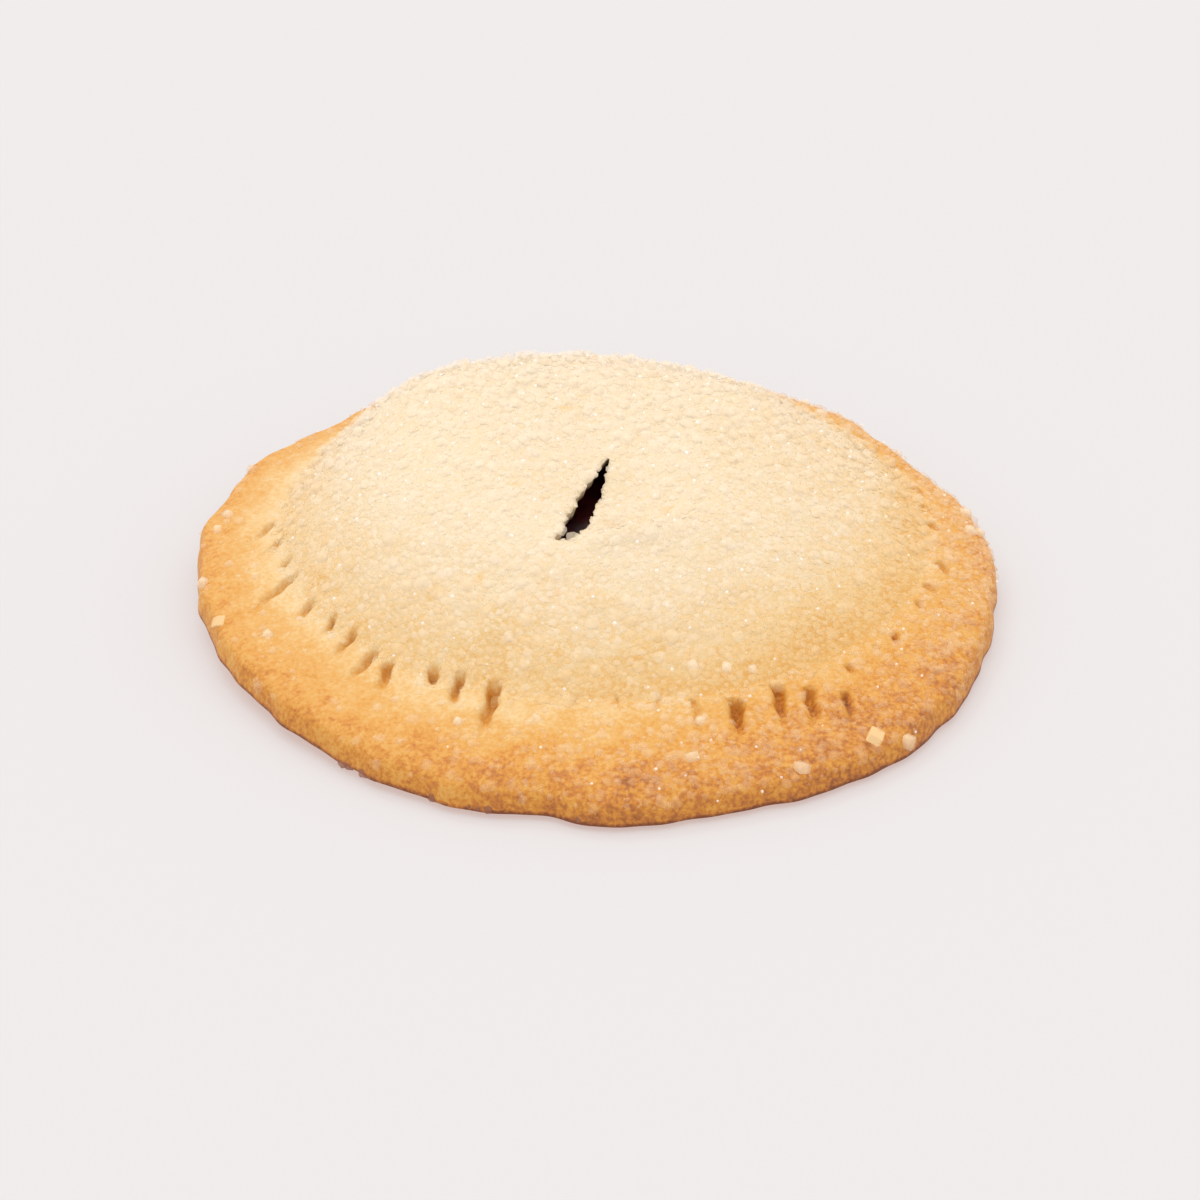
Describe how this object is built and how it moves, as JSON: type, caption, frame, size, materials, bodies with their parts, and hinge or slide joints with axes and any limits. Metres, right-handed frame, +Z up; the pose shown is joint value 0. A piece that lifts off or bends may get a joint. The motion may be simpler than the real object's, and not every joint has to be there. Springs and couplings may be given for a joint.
{
  "type": "strawberry rhubarb hand pie",
  "caption": "Round baked fruit pie without a dish: domed top crust with a steam slit, fork-pressed flat rim, coarse sugar on top, fruit filling inside.",
  "frame": {"origin": "under the middle of the rim, on the surface the pie rests on", "axes": "+Z up, -Y towards the front, where the steam slit's wide end is"},
  "size_m": [0.127, 0.1274, 0.0287],
  "materials": {
    "golden_crust": "baked shortcrust, golden at the rim and pale cream on the crown under coarse sugar",
    "browned_base": "baked shortcrust, browned where it lay on the tray",
    "stewed_fruit": "glossy dark red stewed strawberry and rhubarb",
    "sugar_crystals": "coarse sugar crystals, pale and slightly clear, melted in places"
  },
  "bodies": {
    "root": {"top_crust": "golden_crust", "bottom_crust": "browned_base", "filling": "stewed_fruit"}
  },
  "joints": []
}
